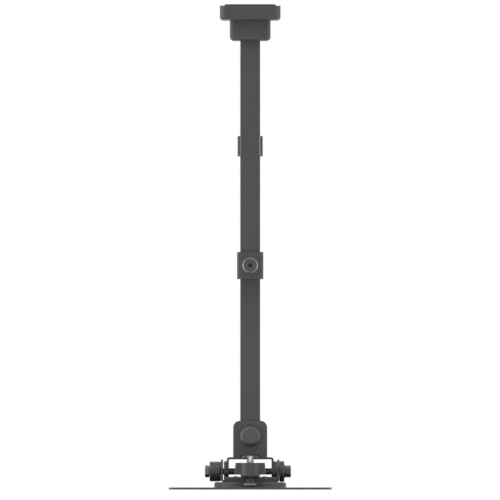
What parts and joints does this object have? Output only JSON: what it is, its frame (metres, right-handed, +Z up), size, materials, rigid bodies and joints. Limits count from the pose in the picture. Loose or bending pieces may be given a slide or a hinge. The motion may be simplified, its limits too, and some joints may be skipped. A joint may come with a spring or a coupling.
{
  "type": "projector ceiling mount",
  "caption": "Ceiling mount with a stepped cover, telescoping square tubes, a rolling yoke, a tilting bracket and a flat slotted projector plate.",
  "frame": {"origin": "middle of the ceiling face of the ceiling plate", "axes": "+Z up towards the ceiling, front of the mount towards -Y, +X to the right seen from the front"},
  "size_m": [0.2036, 0.2036, 0.6076],
  "materials": {
    "coated_steel": "fine matte powder coat",
    "moulded_plastic": "fine matte grain",
    "black_oxide": "satin black oxide",
    "zinc_steel": "bright zinc plate",
    "nylon": "plain"
  },
  "bodies": {
    "ceiling_part": {"ceiling_plate": "coated_steel", "socket_bolt": "zinc_steel", "socket_nut": "zinc_steel", "upper_tube": "coated_steel", "upper_tube_plug": "moulded_plastic", "collar": "coated_steel", "clamp_washer": "black_oxide", "clamp_screw": "black_oxide", "clamp_nut": "zinc_steel"},
    "cover": {"ceiling_cover": "moulded_plastic"},
    "drop_tube": {"lower_tube": "coated_steel", "lower_top_plug": "moulded_plastic", "lower_end_plug": "moulded_plastic", "pivot_sleeve": "zinc_steel", "guide_clip": "coated_steel", "clip_screws": "zinc_steel", "clip_nut_plate": "zinc_steel"},
    "yoke": {"yoke": "coated_steel", "pivot_bolt": "zinc_steel", "pivot_nut": "zinc_steel", "pivot_washers": "zinc_steel", "friction_washers": "nylon", "front_cap": "moulded_plastic", "rear_cap": "moulded_plastic", "axle_bolt": "black_oxide", "axle_washer": "black_oxide", "stop_nut": "black_oxide", "left_spacer": "moulded_plastic", "right_spacer": "moulded_plastic", "clamp_disc": "moulded_plastic", "adjuster_stud": "zinc_steel"},
    "tilt_head": {"tilt_bracket": "coated_steel", "projector_plate": "coated_steel", "plate_bolts": "zinc_steel", "plate_nuts": "zinc_steel"},
    "adjuster_foot": {"swivel_foot": "moulded_plastic"},
    "wing_knob": {"wing_knob": "moulded_plastic"},
    "clamp_knob": {"clamp_knob": "moulded_plastic", "knob_insert": "zinc_steel"}
  },
  "joints": [
    {"name": "cover_slide", "type": "slide", "parent": "ceiling_part", "child": "cover", "axis": [0, 0, 1], "range_m": [-0.04, 0]},
    {"name": "extension", "type": "slide", "parent": "ceiling_part", "child": "drop_tube", "axis": [0, 0, 1], "range_m": [-0.115, 0.075]},
    {"name": "roll", "type": "hinge", "parent": "drop_tube", "child": "yoke", "pos_m": [0, 0.0254, -0.5407], "axis": [0, 1, 0], "range_deg": [-15, 15]},
    {"name": "tilt", "type": "hinge", "parent": "yoke", "child": "tilt_head", "pos_m": [0, 0.0254, -0.5848], "axis": [1, 0, 0], "range_deg": [-3.5, 12]},
    {"name": "foot_travel", "type": "slide", "parent": "yoke", "child": "adjuster_foot", "axis": [0, 0, 1], "range_m": [-0.0125, 0.0037]},
    {"name": "wing_spin", "type": "hinge", "parent": "adjuster_foot", "child": "wing_knob", "pos_m": [0, -0.033, -0.58], "axis": [0, 0, 1], "continuous": true},
    {"name": "knob_spin", "type": "hinge", "parent": "yoke", "child": "clamp_knob", "pos_m": [-0.044, 0.0254, -0.5848], "axis": [1, 0, 0], "continuous": true}
  ],
  "couplings": [
    {"joint": "foot_travel", "follows": "tilt", "m_per_rad": -0.0586}
  ]
}
